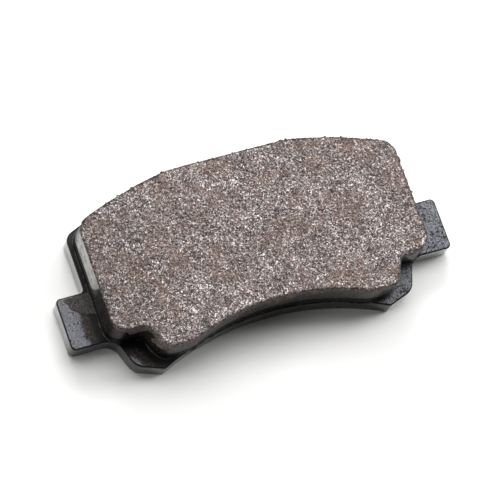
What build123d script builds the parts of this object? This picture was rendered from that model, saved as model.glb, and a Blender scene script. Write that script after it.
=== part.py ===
from build123d import *
import os

# Disc brake pad, in millimetres. The pad lies on its back: +Z points out of the friction face,
# +X runs along the pad's length and +Y towards the rim of the disc. The origin is the middle of
# the pad's length and height, on the back face that the piston presses.
# The outline is the same left and right, so only corners with a positive x are stated.

# Whole pad
pad_length = 117.0
pad_height = 53.8
pad_thickness = 17.5

# Layers, from the back face up
plate_thickness = 6.0
film_thickness = 0.15
underlayer_thickness = 2.6

# Backing plate: shoulders, ears and lobes
plate_half_width = 49.8
plate_corner_y = 17.7
plate_corner_radius = 3.5
plate_flat_half = 18.3
plate_flank_middle = (34.1, 23.4)
ear_height = 15.75
ear_top_y = 0.7
ear_corner_radius = 1.5
ear_root_radius = 1.3
lobe_root_x = 45.8
lobe_root_radius = 4.5
lobe_corner = (42.6, -24.2)
lobe_corner_radius = 5.0
nose_x = 34.7
nose_y = -26.96
nose_radius = 0.8
plate_arch_y = -19.3
rim_radius = 0.4
back_chamfer = 0.25

# Holes through the plate, and the keys that fill them
key_radius = 6.0
key_x = 26.0
key_y = 2.0
key_recess = 0.5

# Lining: outer edge, feet and inner arch
lining_half_width = 48.2
lining_top_y = 25.55
lining_corner_y = 16.95
lining_corner_radius = 5.0
lining_flat_half = 18.0
lining_flank_middle = (33.1, 22.2)
outer_foot_y = -16.0
outer_foot_radius = 4.2
notch_x = 38.8
notch_radius = 3.5
inner_foot_x = 35.0
inner_foot_y = -23.95
inner_foot_radius = 3.5
arch_end_x = 27.2
arch_end_radius = 16.0
lining_arch_y = -18.5

# Both outer edges turn from the flat middle into the flanks through this radius
shoulder_radius = 15.0


def symmetric_face(flat_half, top_y, flank_middle, corners, arch_y):
    """Closed outline: flat top, a curved flank each side, straight runs through corners, inner arch."""
    flank = ThreePointArc((flat_half, top_y), flank_middle, corners[0])
    right = flank + Polyline(*corners)
    left = mirror(right, Plane.YZ)
    top = Line((-flat_half, top_y), (flat_half, top_y))
    end_x, end_y = corners[-1]
    arch = ThreePointArc((-end_x, end_y), (0, arch_y), (end_x, end_y))
    return make_face((top + right + left + arch).edges())


def round_corners(face, corners):
    """Round each stated corner, and its mirror image, to its radius."""
    for (x, y), radius in corners:
        for side in (1, -1):
            corner = face.vertices().sort_by_distance((side * x, y, 0))[0]
            face = fillet(corner, radius)
    return face


def plate_outline():
    ear_x = pad_length / 2
    ear_bottom_y = ear_top_y - ear_height
    top_y = pad_height / 2
    shoulder = (plate_flat_half, top_y)
    upper_corner = (plate_half_width, plate_corner_y)
    ear_root = (plate_half_width, ear_top_y)
    ear_top = (ear_x, ear_top_y)
    ear_bottom = (ear_x, ear_bottom_y)
    lobe_root = (lobe_root_x, ear_bottom_y)
    nose = (nose_x, nose_y)
    corners = [upper_corner, ear_root, ear_top, ear_bottom, lobe_root, lobe_corner, nose]
    face = symmetric_face(plate_flat_half, top_y, plate_flank_middle, corners, plate_arch_y)
    radii = [
        (shoulder, shoulder_radius),
        (upper_corner, plate_corner_radius),
        (ear_root, ear_root_radius),
        (ear_top, ear_corner_radius),
        (ear_bottom, ear_corner_radius),
        (lobe_root, lobe_root_radius),
        (lobe_corner, lobe_corner_radius),
        (nose, nose_radius),
    ]
    return round_corners(face, radii)


def lining_outline():
    shoulder = (lining_flat_half, lining_top_y)
    upper_corner = (lining_half_width, lining_corner_y)
    outer_foot = (lining_half_width, outer_foot_y)
    notch = (notch_x, outer_foot_y)
    inner_foot = (inner_foot_x, inner_foot_y)
    arch_end = (arch_end_x, inner_foot_y)
    corners = [upper_corner, outer_foot, notch, inner_foot, arch_end]
    face = symmetric_face(lining_flat_half, lining_top_y, lining_flank_middle, corners, lining_arch_y)
    radii = [
        (shoulder, shoulder_radius),
        (upper_corner, lining_corner_radius),
        (outer_foot, outer_foot_radius),
        (notch, notch_radius),
        (inner_foot, inner_foot_radius),
        (arch_end, arch_end_radius),
    ]
    return round_corners(face, radii)


def key_cylinders(bottom_z, top_z):
    """One round post at each hole of the plate, between two heights."""
    posts = []
    for side in (1, -1):
        post = Cylinder(key_radius, top_z - bottom_z, align=(Align.CENTER, Align.CENTER, Align.MIN))
        posts.append(Pos(side * key_x, key_y, bottom_z) * post)
    return posts


def backing_plate():
    """Pressed steel plate: rolled rim on the lining side, broken edge on the back."""
    plate = extrude(plate_outline(), plate_thickness)
    plate = fillet(plate.faces().sort_by(Axis.Z)[-1].outer_wire().edges(), rim_radius)
    plate = chamfer(plate.faces().sort_by(Axis.Z)[0].outer_wire().edges(), back_chamfer)
    return plate - key_cylinders(0, plate_thickness)


def bond_film():
    """Cured adhesive under the whole lining, open where the keys pass."""
    film = Pos(0, 0, plate_thickness) * extrude(lining_outline(), film_thickness)
    return film - key_cylinders(plate_thickness, plate_thickness + film_thickness)


def underlayer():
    """Dense layer moulded under the lining, in one piece with the keys in the plate's holes."""
    base_z = plate_thickness + film_thickness
    layer = Pos(0, 0, base_z) * extrude(lining_outline(), underlayer_thickness)
    return layer + key_cylinders(key_recess, base_z)


def friction_block():
    """Wearing part of the lining, up to the face that meets the disc."""
    base_z = plate_thickness + film_thickness + underlayer_thickness
    return Pos(0, 0, base_z) * extrude(lining_outline(), pad_thickness - base_z)


nodes = {
    "backing_plate": backing_plate,
    "bond_film": bond_film,
    "underlayer": underlayer,
    "friction_block": friction_block,
}

os.makedirs("parts", exist_ok=True)
for name, make in nodes.items():
    piece = make()
    piece.label = name
    export_step(piece, f"parts/{name}.step")
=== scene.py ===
import math

import bmesh
import bpy
import numpy as np
from mathutils import Matrix, Vector, geometry, kdtree, noise


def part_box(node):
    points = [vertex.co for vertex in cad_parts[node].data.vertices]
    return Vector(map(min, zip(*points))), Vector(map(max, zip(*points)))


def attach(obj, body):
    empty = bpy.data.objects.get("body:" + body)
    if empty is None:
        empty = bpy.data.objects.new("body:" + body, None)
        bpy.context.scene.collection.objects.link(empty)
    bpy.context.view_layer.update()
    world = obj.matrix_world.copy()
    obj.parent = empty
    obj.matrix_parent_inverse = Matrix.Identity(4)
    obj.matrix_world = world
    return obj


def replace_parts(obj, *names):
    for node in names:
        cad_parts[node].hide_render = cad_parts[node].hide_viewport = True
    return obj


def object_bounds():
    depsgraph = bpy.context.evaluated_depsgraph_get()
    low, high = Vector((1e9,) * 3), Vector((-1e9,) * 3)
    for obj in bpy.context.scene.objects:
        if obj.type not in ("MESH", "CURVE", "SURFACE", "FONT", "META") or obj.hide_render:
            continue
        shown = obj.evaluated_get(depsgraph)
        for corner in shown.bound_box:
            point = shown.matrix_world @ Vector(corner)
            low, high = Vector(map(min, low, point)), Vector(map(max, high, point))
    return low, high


# A used-looking disc brake pad, friction face up, on a white table. Shapes are worked out in
# millimetres, in the CAD frame: +X along the pad, +Y towards the disc's rim, +Z out of the face.
MM = 0.001
# How far along the pad, from its middle, the points either side of the plate's arch are
NOSE = 34.7
# Along the pad, where the plate begins to be dirty and its inner walls shaded in paint, and where it
# is fully so
DIRTY_AND_SHADED_END = (10.0, -30.0)
# Points closer together than this are one point, in the CAD's meshes and in new ones
CAD_WELD = 0.002 * MM
WELD = 0.003 * MM
# A face is upright when its normal rises less than this, and a place is on a ring within this
UPRIGHT = 0.01
ON_RING = 0.02
# Mesh attribute: how far a point is, in plan, from the lining's outline, in millimetres
AWAY = "away_from_outline"

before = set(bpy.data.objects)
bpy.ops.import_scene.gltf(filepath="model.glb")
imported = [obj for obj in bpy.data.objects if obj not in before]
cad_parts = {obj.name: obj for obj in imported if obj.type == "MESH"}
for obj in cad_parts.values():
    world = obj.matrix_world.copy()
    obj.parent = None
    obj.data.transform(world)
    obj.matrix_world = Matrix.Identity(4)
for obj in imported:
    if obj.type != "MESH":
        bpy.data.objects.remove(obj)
cad_low, cad_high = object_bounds()


# ---------------------------------------------------------------- outlines read from the CAD

def box_mm(node):
    """A CAD node's lowest and highest corners."""
    low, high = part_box(node)
    return np.array(low) / MM, np.array(high) / MM


def wall_rings(node):
    """Outlines along the bottom of a CAD node's upright walls, in plan, longest first."""
    work = bmesh.new()
    work.from_mesh(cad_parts[node].data)
    bmesh.ops.remove_doubles(work, verts=work.verts, dist=CAD_WELD)
    neighbours = {}
    for face in work.faces:
        if abs(face.normal.z) > UPRIGHT:
            continue
        bottom = min(v.co.z for v in face.verts) + CAD_WELD
        for edge in face.edges:
            if all(v.co.z < bottom for v in edge.verts):
                a, b = edge.verts
                neighbours.setdefault(a, []).append(b)
                neighbours.setdefault(b, []).append(a)
    rings = []
    while neighbours:
        here = next(iter(neighbours))
        ring = []
        while here in neighbours:
            ring.append(here)
            onward = [v for v in neighbours.pop(here) if v in neighbours]
            here = onward[0] if onward else None
        rings.append(np.array([v.co.xy[:] for v in ring]) / MM)
    work.free()
    return sorted(rings, key=perimeter, reverse=True)


def perimeter(ring):
    """The length of a closed ring."""
    return np.linalg.norm(np.roll(ring, -1, 0) - ring, axis=1).sum()


def smooth_ring(ring, step):
    """The ring anticlockwise, with its chords bent back into arcs and cut into short equal steps."""
    x, y = ring.T
    if (x * np.roll(y, -1) - np.roll(x, -1) * y).sum() < 0:
        ring = ring[::-1]
    chord = np.roll(ring, -1, 0) - ring
    length = np.linalg.norm(chord, axis=1)[:, None]
    onward = chord / length
    back, back_length = np.roll(onward, 1, 0), np.roll(length, 1, 0)
    # Within an arc the outline runs between its chords; a straight run keeps its own direction
    tangent = (back * length + onward * back_length) / (length + back_length)
    tangent = np.where(length > 2 * back_length, onward, tangent)
    tangent = np.where(back_length > 2 * length, back, tangent)
    points = []
    for i in range(len(ring)):
        j = (i + 1) % len(ring)
        steps = max(1, round(float(length[i, 0]) / step))
        for t in np.arange(steps) / steps:
            start = (2 * t ** 3 - 3 * t ** 2 + 1) * ring[i] + (3 * t ** 2 - 2 * t ** 3) * ring[j]
            bend = (t ** 3 - 2 * t ** 2 + t) * tangent[i] + (t ** 3 - t ** 2) * tangent[j]
            points.append(start + bend * length[i])
    return np.array(points)


def outward(ring):
    """Unit normals of an anticlockwise ring, pointing out of it."""
    along = np.roll(ring, -1, 0) - np.roll(ring, 1, 0)
    normal = np.stack([along[:, 1], -along[:, 0]], 1)
    return normal / np.linalg.norm(normal, axis=1)[:, None]


# ---------------------------------------------------------------- meshes

class Nearest:
    """Finds the point of a ring that is nearest to a place in plan."""

    def __init__(self, ring):
        self.sides = outward(ring)
        self.tree = kdtree.KDTree(len(ring))
        for i, (x, y) in enumerate(ring):
            self.tree.insert((x, y, 0), i)
        self.tree.balance()

    def distance(self, x, y):
        return self.tree.find((x, y, 0))[2]

    def side(self, place):
        """The ring's outward direction next to a place that lies on it, otherwise nothing."""
        _, index, distance = self.tree.find((place.x, place.y, 0))
        return Vector((*self.sides[index], 0)) if distance < ON_RING else None


def distances(points, ring):
    """How far each point is from the nearest point of a ring."""
    nearest = Nearest(ring)
    return np.array([nearest.distance(x, y) for x, y in points])


def inside(points, ring):
    """Which of the points are inside a ring."""
    x, y = points.T
    order = np.argsort(y)
    sorted_y = y[order]
    odd = np.zeros(len(points), bool)
    for (ax, ay), (bx, by) in zip(ring, np.roll(ring, -1, 0)):
        if ay != by:
            first, last = np.searchsorted(sorted_y, sorted((ay, by)))
            level = order[first:last]
            odd[level] ^= x[level] < ax + (y[level] - ay) * (bx - ax) / (by - ay)
    return odd


def filled(rings, step, seed):
    """Points and triangles over the area inside the first ring and outside the others."""
    # As shares of a step: how far grid points stray, and how far they keep from the rings
    stray, gap = 0.28, 0.62
    shuffle = np.random.RandomState(seed)
    low, high = rings[0].min(0), rings[0].max(0)
    row_step = step * math.sqrt(3) / 2
    grid = []
    for row, y in enumerate(np.arange(low[1], high[1], row_step)):
        xs = np.arange(low[0], high[0], step) + step / 2 * (row % 2)
        grid.append(np.stack([xs, np.full(len(xs), y)], 1))
    grid = np.concatenate(grid)
    grid += shuffle.uniform(-stray, stray, grid.shape) * step
    border = np.concatenate(rings)
    grid = grid[inside(grid, rings[0])]
    grid = grid[distances(grid, border) > gap * step]
    edges = []
    first = 0
    for ring in rings:
        count = len(ring)
        edges += [(first + i, first + (i + 1) % count) for i in range(count)]
        first += count
    points = [Vector(p) for p in np.concatenate([border, grid])]
    found, _, triangles, *_ = geometry.delaunay_2d_cdt(points, edges, [], 0, 1e-7, False)
    found = np.array([p[:] for p in found])
    triangles = np.array(triangles)
    kept = inside(found[triangles].mean(1), rings[0])
    for hole in rings[1:]:
        kept &= ~inside(found[triangles].mean(1), hole)
    triangles = triangles[kept]
    used = np.unique(triangles)
    place = np.zeros(len(found), int)
    place[used] = np.arange(len(used))
    return found[used], place[triangles]


class Body:
    """A closed solid put together from flat faces and rows of wall, in millimetres."""

    def __init__(self):
        self.points, self.faces, self.kinds, self.normals = [], [], [], []
        self.count = 0

    def _take(self, points, normals, faces, kind):
        self.points.append(points)
        self.normals.append(normals)
        self.faces += [[self.count + i for i in f] for f in faces]
        self.kinds += [kind] * len(faces)
        self.count += len(points)

    def face(self, rings, height, up, step, seed, kind):
        """A flat face with its edge on the rings."""
        plan, triangles = filled(rings, step, seed)
        points = np.column_stack([plan, np.full(len(plan), height)])
        normals = np.tile([0.0, 0.0, 1.0 if up else -1.0], (len(plan), 1))
        self._take(points, normals, triangles if up else triangles[:, ::-1], kind)

    def wall(self, ring, rows, kind, inward=False):
        """Rows of wall between rings inset by rows' first values, at the heights of the second."""
        normal = outward(ring)
        count = len(ring)
        side = np.column_stack([-normal if inward else normal, np.zeros(count)])
        points = [np.column_stack([ring - normal * inset, np.full(count, z)]) for inset, z in rows]
        quads = []
        for row in range(len(rows) - 1):
            for i in range(count):
                j = (i + 1) % count
                a, b = row * count, (row + 1) * count
                quad = [a + i, a + j, b + j, b + i]
                quads.append(quad[::-1] if inward else quad)
        self._take(np.concatenate(points), np.tile(side, (len(rows), 1)), quads, kind)

    def make(self, name, materials, shape, away_from=None):
        """The finished object. shape(point, normal) gives how far each point moves, in millimetres."""
        points, normals = np.concatenate(self.points), np.concatenate(self.normals)
        mesh = bpy.data.meshes.new(name)
        mesh.from_pydata((points * MM).tolist(), [], self.faces)
        for material in materials:
            mesh.materials.append(material)
        mesh.polygons.foreach_set("material_index", self.kinds)
        work = bmesh.new()
        work.from_mesh(mesh)
        layer = work.verts.layers.float_vector.new("side")
        work.verts.ensure_lookup_table()
        for vert, normal in zip(work.verts, normals):
            vert[layer] = normal
        bmesh.ops.remove_doubles(work, verts=work.verts, dist=WELD)
        for vert in work.verts:
            vert.co += Vector(shape(vert.co / MM, vert[layer])) * MM
        for face in work.faces:
            face.smooth = True
        work.verts.layers.float_vector.remove(layer)
        work.to_mesh(mesh)
        work.free()
        if away_from is not None:
            plan = np.array([v.co.xy[:] for v in mesh.vertices]) / MM
            mesh.attributes.new(AWAY, "FLOAT", "POINT").data.foreach_set(
                "value", distances(plan, away_from))
        piece = bpy.data.objects.new(name, mesh)
        bpy.context.scene.collection.objects.link(piece)
        return piece


def inset_ring(ring, inset):
    """The ring moved inwards by a small distance."""
    return ring - outward(ring) * inset


# ---------------------------------------------------------------- materials

class Graph:
    """One material's node tree. self.mm is the place on the pad in millimetres."""

    def __init__(self, name):
        self.material = bpy.data.materials.new(name)
        self.material.use_nodes = True
        self.tree = self.material.node_tree
        self.tree.nodes.clear()
        place = self.add("ShaderNodeTexCoord").outputs["Object"]
        self.mm = self.scaled(place, 1 / MM)

    def add(self, kind, inputs=(), **settings):
        node = self.tree.nodes.new(kind)
        for key, value in settings.items():
            setattr(node, key, value)
        for key, value in dict(inputs).items():
            self.set(node.inputs[key], value)
        return node

    def set(self, socket, value):
        if isinstance(value, bpy.types.NodeSocket):
            self.tree.links.new(value, socket)
        else:
            socket.default_value = value

    def scaled(self, vector, scale):
        inputs = {0: vector, "Scale": scale}
        return self.add("ShaderNodeVectorMath", inputs, operation="SCALE").outputs[0]

    def math(self, operation, *values):
        return self.add("ShaderNodeMath", dict(enumerate(values)), operation=operation).outputs[0]

    def plus(self, a, b):
        return self.math("ADD", a, b)

    def minus(self, a, b):
        return self.math("SUBTRACT", a, b)

    def times(self, a, b):
        return self.math("MULTIPLY", a, b)

    def times_plus(self, a, b, c):
        """a times b, plus c."""
        return self.math("MULTIPLY_ADD", a, b, c)

    def most(self, a, b):
        return self.math("MAXIMUM", a, b)

    def size_of(self, a):
        return self.math("ABSOLUTE", a)

    def noise(self, size, detail=2.0, rough=0.5, output="Fac"):
        """Soft noise with lumps about size millimetres across."""
        inputs = {"Vector": self.mm, "Scale": 1 / size, "Detail": detail, "Roughness": rough}
        return self.add("ShaderNodeTexNoise", inputs).outputs[output]

    def cells(self, size, place):
        """Three random numbers for each cell about size millimetres across."""
        node = self.add("ShaderNodeTexVoronoi", {"Vector": place, "Scale": 1 / size})
        return self.add("ShaderNodeSeparateColor", {0: node.outputs["Color"]}).outputs

    def axes(self):
        """The place's distance along the pad, across it and up, in millimetres."""
        return self.add("ShaderNodeSeparateXYZ", {0: self.mm}).outputs

    def away(self):
        """The mesh attribute AWAY."""
        return self.add("ShaderNodeAttribute", attribute_name=AWAY).outputs["Fac"]

    def between(self, value, low, high):
        """0 at low and before it, 1 at high and beyond it, and smooth between them."""
        inputs = {"Value": value, "From Min": low, "From Max": high}
        node = self.add("ShaderNodeMapRange", inputs, interpolation_type="SMOOTHSTEP")
        return node.outputs[0]

    def ramp(self, value, stops):
        node = self.add("ShaderNodeValToRGB", {0: value})
        elements = node.color_ramp.elements
        while len(elements) < len(stops):
            elements.new(0.5)
        for element, (position, colour) in zip(elements, stops):
            element.position = position
            element.color = (*colour, 1.0)
        return node.outputs[0]

    def mix(self, share, a, b, blend="MIX"):
        node = self.add("ShaderNodeMix", data_type="RGBA", blend_type=blend)
        for index, value in ((0, share), (6, a), (7, b)):
            if isinstance(value, tuple) and len(value) == 3:
                value = (*value, 1.0)
            self.set(node.inputs[index], value)
        return node.outputs[2]

    def blend(self, share, a, b):
        """A number between a and b."""
        node = self.add("ShaderNodeMix", {0: share, 2: a, 3: b}, data_type="FLOAT")
        return node.outputs[0]

    def bump(self, height, depth, normal=None):
        """Relief: height 1 stands depth millimetres above height 0."""
        inputs = {"Height": height, "Distance": depth * MM, "Strength": 1.0}
        if normal is not None:
            inputs["Normal"] = normal
        return self.add("ShaderNodeBump", inputs).outputs[0]

    def finish(self, **sockets):
        inputs = {name.replace("_", " "): value for name, value in sockets.items()}
        shader = self.add("ShaderNodeBsdfPrincipled", inputs)
        self.add("ShaderNodeOutputMaterial", {"Surface": shader.outputs[0]})
        return self.material


# Plain colours that the materials mix in
RUST = (0.150, 0.083, 0.058)
# Painted shade in the pits of the friction mix
PIT_SHADE = (0.012, 0.010, 0.009)
WORN_BROWN = (0.075, 0.045, 0.033)
# Near black at the lining wall's foot: the underlayer's darker mix, and painted shade
FOOT_BLACK_AND_SHADE = (0.003, 0.0025, 0.0025)
# Black right beside the lining, and for dark specks
NEAR_BLACK = (0.004, 0.0035, 0.0035)
# Black painted shade on the plate's walls
WALL_SHADE_BLACK = (0.007, 0.006, 0.006)
MOULDED = (0.030, 0.024, 0.022)


def friction_colour(g):
    """Grains, fibres and pits of the friction mix, with painted shade in the pits: its colour, and its
    relief from 0 to 1.
    """
    drift = g.scaled(g.noise(0.8, detail=2, output="Color"), 0.3)
    place = g.add("ShaderNodeVectorMath", {0: g.mm, 1: drift}, operation="ADD").outputs[0]
    coarse, fine = g.cells(0.52, place), g.cells(0.26, place)
    cloud = g.noise(4.0, detail=4, rough=0.6)
    tone = g.times_plus(coarse[0], 0.32, g.times(fine[0], 0.68))
    tone = g.plus(tone, g.times_plus(cloud, 0.42, -0.21))
    grey = g.ramp(tone, [
        (0.08, (0.012, 0.009, 0.008)),
        (0.28, (0.046, 0.035, 0.032)),
        (0.52, (0.138, 0.113, 0.107)),
        (0.76, (0.340, 0.298, 0.290)),
        (0.97, (0.860, 0.822, 0.806)),
    ])
    tint = g.ramp(fine[1], [
        (0.00, (1.00, 0.82, 0.74)),
        (0.25, (1.00, 0.93, 0.90)),
        (0.50, (0.98, 0.99, 0.95)),
        (0.75, (0.95, 0.98, 1.05)),
        (1.00, (1.00, 0.90, 0.87)),
    ])
    colour = g.mix(1.0, grey, tint, "MULTIPLY")
    rust_patch = g.noise(7.0, detail=3)
    rust_grain = g.between(coarse[2], 0.35, 0.80)
    rust = g.times(g.between(rust_patch, 0.45, 0.62), rust_grain)
    colour = g.mix(g.times(rust, 0.65), colour, RUST)
    # The pits are darkened with painted shade
    pit = g.noise(0.42, detail=1)
    pits = g.between(pit, 0.58, 0.70)
    colour = g.mix(g.times(pits, 0.8), colour, PIT_SHADE)
    relief = g.times_plus(fine[0], 0.5, g.times(coarse[0], 0.5))
    relief = g.minus(relief, g.times(pits, 0.6))
    return colour, relief


def friction_face():
    """The mix, a little darker towards one end of the pad and darker still in a ragged band at its
    very edge.
    """
    g = Graph("friction_face")
    colour, relief = friction_colour(g)
    along = g.axes()[0]
    shade = g.blend(g.between(along, -52.0, -22.0), 0.88, 1.10)
    edge = g.away()
    ragged = g.noise(0.9, detail=3)
    # Darker in a ragged band along the face's edge
    off_edge = g.between(g.times_plus(ragged, -1.0, edge), -0.45, 0.15)
    shade = g.times(shade, g.blend(off_edge, 0.25, 1.0))
    dark = g.add("ShaderNodeCombineColor", {0: shade, 1: shade, 2: shade}).outputs[0]
    return g.finish(
        Base_Color=g.mix(1.0, colour, dark, "MULTIPLY"),
        Roughness=0.72,
        Specular_IOR_Level=0.35,
        Normal=g.bump(relief, 0.10))


def lining_wall(face_z):
    """Glossy paint on the lining's ends, with a pale painted reflection by the shoulders; dull and
    worn brown elsewhere.
    """
    g = Graph("lining_wall")
    bare, relief = friction_colour(g)
    _, across, height = g.axes()
    ragged = g.noise(1.2, detail=4, rough=0.7)
    patch = g.noise(9.0, detail=1)
    flank = g.between(across, 12.5, 16.5)
    dull = g.most(g.between(across, -9.0, -13.0), flank)
    feet = g.times(g.between(across, -12.5, -15.0), g.between(across, -25.0, -22.0))
    # How far down from the face the paint is worn off
    reach = g.times_plus(g.between(patch, 0.45, 0.62), g.blend(dull, 0.5, 4.0), 0.1)
    reach = g.times_plus(feet, 1.6, reach)
    reach = g.times_plus(ragged, g.blend(dull, 0.5, 2.0), reach)
    worn = g.between(g.minus(height, g.minus(face_z, reach)), 0.0, 1.0)
    smear = g.noise(1.4, detail=3)
    paint = g.ramp(smear, [(0.3, (0.006, 0.005, 0.005)), (0.7, (0.018, 0.015, 0.013))])
    # A pale painted reflection by the shoulders, clear of the lining's foot
    painted_sheen = g.times(g.between(across, -4.0, 2.5), g.between(height, 9.2, 10.8))
    painted_sheen = g.times(painted_sheen, g.blend(dull, 1.0, 0.06))
    painted_sheen = g.times(painted_sheen, g.between(g.noise(2.4, detail=3), 0.05, 0.75))
    # The pale grey-green colour of the painted reflection
    sheen_colour = g.ramp(patch, [(0.4, (0.330, 0.335, 0.325)), (0.6, (0.300, 0.295, 0.262))])
    paint = g.mix(painted_sheen, paint, sheen_colour)
    # Darker towards the wall's foot: the underlayer's darker mix, and painted shade where the wall
    # meets the plate
    foot = g.between(height, 9.8, 8.4)
    paint = g.mix(g.times(foot, 0.8), paint, FOOT_BLACK_AND_SHADE)
    brown = g.mix(0.5, bare, WORN_BROWN)
    fleck = g.noise(0.5, detail=2)
    gloss = g.times_plus(flank, 0.24, g.blend(dull, 0.14, 0.26))
    rough = g.times_plus(g.between(fleck, 0.52, 0.72), 0.10, g.blend(worn, gloss, 0.65))
    skin = g.bump(g.noise(1.6, detail=3), 0.025)
    return g.finish(
        Base_Color=g.mix(g.times(worn, 0.8), paint, brown),
        Roughness=rough,
        Specular_IOR_Level=g.times(g.blend(dull, 0.65, 0.20), g.blend(foot, 1.0, 0.25)),
        Normal=g.bump(g.times(relief, worn), 0.1, skin))


def plate_layers(g):
    """How far mottled dirt, and black right beside the lining, cover the paint, and the noises behind
    them.

    Both lie beside the lining, closest to it at the shoulders, and the back stays clean."""
    along, across, height = g.axes()
    clean_back = g.times(g.between(height, 3.0, 2.0), 50.0)
    away = g.plus(g.plus(g.away(), clean_back), g.between(across, 6.0, 12.0))
    dirty_end = g.between(along, *DIRTY_AND_SHADED_END)
    patch = g.noise(3.2, detail=4, rough=0.6)
    blotch = g.noise(0.75, detail=4, rough=0.7)
    ragged = g.times_plus(blotch, 5.0, g.times_plus(patch, 4.0, -4.4))
    dirt_reach = g.times_plus(dirty_end, 5.0, ragged)
    dirt = g.between(g.minus(away, dirt_reach), 0.6, -0.4)
    # Black right beside the lining
    black_zone_reach = g.times_plus(blotch, 3.0, g.times_plus(dirty_end, 1.2, -0.5))
    black_zone = g.between(g.minus(away, black_zone_reach), 1.0, -0.5)
    return dirt, black_zone, patch, blotch, dirty_end


def plate_top():
    """Black orange-peel paint, specked with dust and painted glints; mottled dirt around the lining,
    black right beside it.
    """
    g = Graph("plate_top")
    dirt, black_zone, patch, blotch, dirty_end = plate_layers(g)
    speck = g.noise(0.36, detail=3, rough=0.65)
    spot = g.noise(0.62, detail=2)
    crowd = g.times_plus(dirty_end, -0.06, g.times_plus(patch, 0.40, spot))
    spots = g.between(crowd, 0.76, 0.81)
    # The speckle's light end is painted glints off the orange peel; its dark end is dark specks
    paint = g.ramp(speck, [
        (0.38, (0.008, 0.008, 0.011)),
        (0.50, (0.052, 0.053, 0.068)),
        (0.62, (0.190, 0.196, 0.230)),
    ])
    even = g.ramp(patch, [(0.35, (0.048, 0.050, 0.062)), (0.65, (0.092, 0.096, 0.116))])
    paint = g.mix(g.times(dirty_end, 0.65), paint, even)
    mottle = g.ramp(blotch, [
        (0.38, (0.004, 0.004, 0.004)),
        (0.52, (0.024, 0.018, 0.016)),
        (0.66, (0.095, 0.068, 0.055)),
    ])
    colour = g.mix(dirt, paint, mottle)
    colour = g.mix(g.most(black_zone, spots), colour, NEAR_BLACK)
    dull = g.most(dirt, g.most(black_zone, spots))
    peel = g.noise(0.45, detail=2)
    relief = g.times_plus(speck, 0.4, g.times(peel, 0.6))
    relief = g.times(relief, g.blend(dirty_end, 1.0, 0.6))
    rough = g.times_plus(g.between(blotch, 0.45, 0.65), 0.10, g.blend(dull, 0.14, 0.42))
    return g.finish(
        Base_Color=colour,
        Roughness=rough,
        Specular_IOR_Level=g.blend(dull, 0.5, 0.22),
        Normal=g.bump(relief, 0.13))


def plate_wall(plate_top_z):
    """The plate's cut edges: glossier paint, with black painted shade on the inner side, by the lining
    and at the rim.
    """
    g = Graph("plate_wall")
    along, across, height = g.axes()
    rim = g.between(height, plate_top_z - 0.34, plate_top_z - 0.14)
    patch = g.noise(3.2, detail=4, rough=0.6)
    speck = g.noise(0.45, detail=2)
    run = g.noise(1.8, detail=3)
    paint = g.ramp(patch, [(0.35, (0.040, 0.042, 0.048)), (0.65, (0.085, 0.089, 0.097))])
    # Black painted shade on the walls of the inner side, most at the dirtier end and in the arch, and
    # by the lining
    lower = g.between(across, -9.0, -15.0)
    shaded_end = g.times(g.between(along, *DIRTY_AND_SHADED_END), lower)
    in_arch = g.times(g.between(g.size_of(along), NOSE + 0.8, NOSE - 0.8), lower)
    by_lining = g.between(g.times_plus(speck, 0.4, g.away()), 1.6, 1.2)
    wall_shade = g.most(g.most(by_lining, in_arch), g.times(shaded_end, 0.88))
    # A painted dark line along the rolled rim
    wall_shade = g.most(wall_shade, rim)
    colour = g.mix(wall_shade, paint, WALL_SHADE_BLACK)
    rough = g.times_plus(g.between(speck, 0.56, 0.70), 0.20, g.blend(wall_shade, 0.07, 0.16))
    rough = g.times_plus(rim, 0.25, rough)
    return g.finish(
        Base_Color=colour,
        Roughness=rough,
        Specular_IOR_Level=g.times(g.blend(wall_shade, 1.0, 0.4), g.blend(rim, 1.0, 0.2)),
        Coat_Weight=g.blend(wall_shade, 1.0, 0.0),
        Coat_Roughness=0.08,
        Normal=g.bump(speck, 0.012, g.bump(run, 0.04)))


def adhesive():
    """Rough baked adhesive with dust pressed into it."""
    g = Graph("adhesive")
    grit = g.noise(0.42, detail=3, rough=0.65)
    patch = g.noise(2.0, detail=3)
    colour = g.ramp(grit, [
        (0.36, (0.004, 0.003, 0.003)),
        (0.52, (0.028, 0.022, 0.022)),
        (0.68, (0.105, 0.085, 0.080)),
    ])
    rough = g.times_plus(patch, 0.3, 0.5)
    return g.finish(Base_Color=colour, Roughness=rough, Normal=g.bump(grit, 0.14))


def underlayer_mix():
    """Dense moulded mix that shows in the plate's holes."""
    g = Graph("underlayer_mix")
    bare, relief = friction_colour(g)
    patch = g.noise(2.5, detail=3)
    colour = g.mix(0.6, bare, MOULDED)
    rough = g.times_plus(patch, 0.3, 0.45)
    return g.finish(Base_Color=colour, Roughness=rough, Normal=g.bump(relief, 0.06))


# ---------------------------------------------------------------- pieces

# Distance between mesh points on the lining and on the plate
FACE_STEP = 0.25
PLATE_STEP = 0.38
# Size of the grains, and how far they stand out of the face or leave a hole in it
GRAIN = 0.50
GRAIN_HEIGHT = 0.13
TORN_SHARE = 0.10
TORN_DEPTH = 0.16
# How much wider the lining's foot is than its face, on each side
FOOT_SPREAD = 0.28

lining_low, lining_high = box_mm("friction_block")
plate_low, plate_high = box_mm("backing_plate")
film_low, film_high = box_mm("bond_film")
layer_low, layer_high = box_mm("underlayer")
lining_ring = smooth_ring(wall_rings("friction_block")[0], FACE_STEP)
top = lining_high[2]
foot_z = film_high[2]

wall_paint = lining_wall(top)


def lumps(place, size, depth=4):
    """Fractal noise, about -1 to 1, with lumps size millimetres across."""
    return noise.fractal(place / size, 1.0, 2.0, depth)


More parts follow.
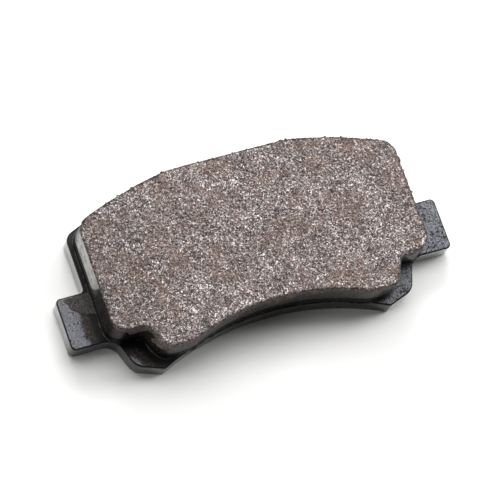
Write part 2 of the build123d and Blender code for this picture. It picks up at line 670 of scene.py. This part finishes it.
def grain_relief(place):
    """Height of the friction face in millimetres: grains stand proud, and some are torn out."""
    near, spots = noise.voronoi(place / GRAIN + Vector((0, 0, lumps(place, 2.0, 2) * 0.4)))
    # The factor sends neighbouring grains to different cells, so that each gets its own level
    level = noise.cell(spots[0] * 7.3)
    groove = min(1.0, (near[1] - near[0]) * 3.0)
    torn = -TORN_DEPTH if level < TORN_SHARE else 0.0
    stand = level * GRAIN_HEIGHT - GRAIN_HEIGHT / 2
    return (stand + torn) * groove + lumps(place, 3.5) * 0.05


def side_waves(place):
    """The lining's side: slow waves, small pits, and a foot a little wider than the face."""
    spread = FOOT_SPREAD * (top - place.z) / (top - foot_z)
    return lumps(place, 6.0) * 0.08 + lumps(place, 1.2, 2) * 0.02 + spread


def chipped_edge(place):
    """How far the lining's upper edge is broken back, in millimetres."""
    return max(0.0, lumps(place, 1.1) - 0.05) * 0.22


def burr(place):
    """How far crumbs of the mix hang over the lining's upper edge, in millimetres."""
    return max(0.0, lumps(place + Vector((0, 0, 40)), 0.9, 3) - 0.35) * 1.1


def friction_lining():
    """The lining: grainy on its face, with an edge that overhangs its wall by a thin lip."""
    body = Body()
    rim, lip = 0.10, 0.06
    heights = np.linspace(lining_low[2], top - 0.9, 9)
    rows = [(0, z) for z in heights] + [(0.0, top - 0.55), (0.0, top - 0.32), (-lip, top - 0.14)]
    body.face([lining_ring], lining_low[2], False, 1.2, 1, 1)
    body.wall(lining_ring, rows, 1)
    body.wall(lining_ring, [rows[-1], (0.0, top - 0.03), (rim, top)], 0)
    body.face([inset_ring(lining_ring, rim)], top, True, FACE_STEP, 2, 0)

    edge = Nearest(lining_ring)

    def shape(place, side):
        if top - place.z > 0.2:
            side = edge.side(place)
            return side * side_waves(place) if side else Vector()
        flat = Vector((place.x, place.y, 0))
        near_edge = max(0.0, 1.0 - edge.distance(place.x, place.y) / 0.7)
        chip = chipped_edge(flat) * near_edge
        drop = Vector((0, 0, grain_relief(flat) - chip))
        if side.z < 0.5:
            return drop + side * (side_waves(place) - chip * 0.4 + burr(flat) + 0.05)
        return drop

    piece = body.make("friction_lining", [friction_face(), wall_paint], shape, lining_ring)
    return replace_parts(piece, "friction_block")


def painted_plate():
    """The punched plate: rolled over on the lining's side, broken edge on the back, two holes."""
    outer, *holes = wall_rings("backing_plate")
    outer = smooth_ring(outer, PLATE_STEP)
    holes = [smooth_ring(h, PLATE_STEP) for h in holes]
    height = plate_high[2]
    roll, broken = 0.42, 0.25
    roll_turns = (25, 45, 65, 90)
    body = Body()
    rows = [(broken, 0.0), (broken * 0.3, broken * 0.3), (0.0, broken)]
    rows += [(0.0, z) for z in np.linspace(broken, height - roll, 12)[1:]]
    for turn in roll_turns:
        angle = math.radians(turn)
        rows.append((roll * (1 - math.cos(angle)), height - roll * (1 - math.sin(angle))))
    body.face([inset_ring(outer, broken), *holes], 0.0, False, 0.5, 3, 0)
    body.wall(outer, rows, 1)
    for hole in holes:
        body.wall(hole, [(0, z) for z in np.linspace(0, height, 9)], 1, inward=True)
    body.face([inset_ring(outer, roll), *holes], height, True, PLATE_STEP, 4, 0)

    def shape(place, side):
        if abs(side.z) > 0.5:
            return side * (lumps(place, 1.3, 2) * 0.012 - 0.012)
        # The punch leaves a smooth band near the lining side and a torn one below it
        torn = 1.0 if place.z < height * 0.45 + lumps(place, 5.0) * 0.8 else 0.35
        streak = lumps(Vector((place.x, place.y, place.z * 0.25)), 0.8, 3)
        return side * (streak * 0.05 * torn - 0.04)

    piece = body.make("painted_plate", [plate_top(), plate_wall(height)], shape, lining_ring)
    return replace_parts(piece, "backing_plate")


def lining_base():
    """The underlayer, with its keys down through the plate's holes."""
    outer, *posts = wall_rings("underlayer")
    outer = smooth_ring(outer, FACE_STEP)
    posts = [smooth_ring(p, FACE_STEP) for p in posts]
    bottom, height, end = film_high[2], layer_high[2], layer_low[2]
    body = Body()
    body.wall(outer, [(0, z) for z in np.linspace(bottom, height, 5)], 1)
    body.face([outer], height, True, 1.2, 5, 1)
    body.face([outer, *posts], bottom, False, 1.2, 6, 1)
    for post in posts:
        rows = [(0.35, end), (0.12, end + 0.12), (0.0, end + 0.35)]
        rows += [(0, z) for z in np.linspace(end + 0.35, bottom, 8)[1:]]
        body.wall(post, rows, 0)
        body.face([inset_ring(post, 0.35)], end, False, FACE_STEP, 7, 0)

    edge = Nearest(outer)

    def shape(place, side):
        if place.z < bottom - 0.1:
            return Vector((0, 0, grain_relief(place) * 0.6)) if side.z < -0.5 else Vector()
        side = edge.side(place)
        return side * side_waves(place) if side else Vector()

    piece = body.make("lining_base", [underlayer_mix(), wall_paint], shape)
    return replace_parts(piece, "underlayer")


def bond_line():
    """Adhesive under the lining, squeezed out past its foot and smeared over one ear."""
    outer, *holes = wall_rings("bond_film")
    outer = smooth_ring(outer, FACE_STEP)
    normal = outward(outer)
    margin = np.array([0.45 + 0.35 * lumps(Vector((x, y, 3.0)), 2.2) for x, y in outer])
    margin = np.clip(margin, 0.08, 1.0)
    smear_top, smear_foot, smear_reach = 0.25, -6.3, 7.9
    x, y = outer.T
    share = np.clip((y - smear_foot) / (smear_top - smear_foot), 0, 1)
    over_ear = (x < -40) & (y < smear_top) & (y > smear_foot)
    ragged = np.array([0.6 * lumps(Vector((a, b, 9.0)), 1.3) for a, b in outer])
    reach = smear_reach * np.sqrt(np.clip(1 - (1 - share) ** 2, 0, 1)) + ragged
    margin = np.where(over_ear, np.maximum(margin, reach), margin)
    border = outer + normal * margin[:, None]
    low, high = film_low[2], film_high[2]
    body = Body()
    holes = [smooth_ring(h, FACE_STEP) for h in holes]
    thin = 0.05
    body.face([border, *holes], low, False, 1.0, 8, 0)
    body.wall(border, [(0, low), (0, low + thin)], 0)
    for hole in holes:
        body.wall(hole, [(0, low), (0, high)], 0, inward=True)
    body.face([border, *holes], low + thin, True, 0.3, 9, 0)

    edge = Nearest(border)

    def shape(place, side):
        if side.z < 0.5:
            return Vector()
        from_edge = edge.distance(place.x, place.y)
        rise = min(1.0, from_edge / 0.6) * (high - low - thin)
        grit = lumps(place, 0.9, 3) * 0.03 * min(1.0, from_edge / 0.3)
        return Vector((0, 0, rise * 0.8 + grit))

    piece = body.make("bond_line", [adhesive()], shape)
    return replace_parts(piece, "bond_film")


for piece in (friction_lining(), painted_plate(), lining_base(), bond_line()):
    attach(piece, "root")


# ---------------------------------------------------------------- studio

def area_light(name, azimuth, elevation, distance, width, height, power):
    """A soft panel that faces the pad. Azimuth turns from +Y towards -X; angles in degrees."""
    light = bpy.data.lights.new(name, "AREA")
    light.shape = "RECTANGLE"
    light.size, light.size_y = width, height
    light.energy = power
    light.color = PANEL_COLOUR
    panel = bpy.data.objects.new(name, light)
    a, e = math.radians(azimuth), math.radians(elevation)
    towards = Vector((-math.sin(a) * math.cos(e), math.cos(a) * math.cos(e), math.sin(e)))
    panel.location = towards * distance
    panel.rotation_euler = towards.to_track_quat("Z", "Y").to_euler()
    bpy.context.scene.collection.objects.link(panel)


def table():
    """A large white disc that the pad lies on."""
    mesh = bpy.data.meshes.new("table")
    work = bmesh.new()
    bmesh.ops.create_circle(work, cap_ends=True, radius=3.0, segments=96)
    work.to_mesh(mesh)
    work.free()
    g = Graph("table_white")
    mottle = g.noise(40.0, detail=3)
    mesh.materials.append(g.finish(
        Base_Color=g.ramp(mottle, [(0.3, (0.81, 0.798, 0.775)), (0.7, (0.84, 0.828, 0.805))]),
        Roughness=0.6))
    disc = bpy.data.objects.new("table", mesh)
    bpy.context.scene.collection.objects.link(disc)


def surroundings(seen, lit):
    """A white room: bright where it is seen, faint where it lights the pad."""
    world = bpy.data.worlds.new("white_room")
    bpy.context.scene.world = world
    world.use_nodes = True
    nodes, links = world.node_tree.nodes, world.node_tree.links
    nodes.clear()
    path = nodes.new("ShaderNodeLightPath")
    blend = nodes.new("ShaderNodeMixShader")
    links.new(path.outputs["Is Camera Ray"], blend.inputs[0])
    for index, strength in ((1, lit), (2, seen)):
        shade = nodes.new("ShaderNodeBackground")
        shade.inputs["Color"].default_value = (1.0, 1.0, 1.0, 1.0)
        shade.inputs["Strength"].default_value = strength
        links.new(shade.outputs[0], blend.inputs[index])
    output = nodes.new("ShaderNodeOutputWorld")
    links.new(blend.outputs[0], output.inputs["Surface"])


def camera(azimuth, elevation, roll, distance, lens, aim):
    """Looks down on the pad from its lower left corner; angles in degrees, lengths in millimetres."""
    data = bpy.data.cameras.new("camera")
    data.sensor_width = 36.0
    data.lens = lens
    data.clip_start, data.clip_end = 0.05, 20.0
    eye = bpy.data.objects.new("camera", data)
    bpy.context.scene.collection.objects.link(eye)
    turn = Matrix.Rotation(math.radians(azimuth), 4, "Z")
    turn = turn @ Matrix.Rotation(math.radians(90 - elevation), 4, "X")
    turn = turn @ Matrix.Rotation(math.radians(roll), 4, "Z")
    middle = (cad_low + cad_high) / 2 + Vector(aim) * MM
    eye.matrix_world = Matrix.Translation(middle + turn @ Vector((0, 0, distance * MM))) @ turn
    bpy.context.scene.camera = eye


# Each soft panel: azimuth and elevation, distance, width and height in metres, power in watts
PANELS = {
    "overhead_panel": (-12, 60, 3.0, 5.0, 2.0, 121),
    "back_panel": (-9, 25, 5.0, 2.9, 1.8, 200),
    "right_panel": (-84, 20, 5.0, 2.4, 2.8, 262),
    "left_panel": (86, 20, 5.0, 2.4, 2.8, 118),
}
PANEL_COLOUR = (0.98, 0.99, 1.0)

table()
surroundings(seen=1.0, lit=0.04)
for name, placing in PANELS.items():
    area_light(name, *placing)
camera(azimuth=-50.243, elevation=66.637, roll=32.722, distance=906.356, lens=230.4,
       aim=(-0.494, -0.868, 0.0))
bpy.context.scene.view_settings.view_transform = "Standard"
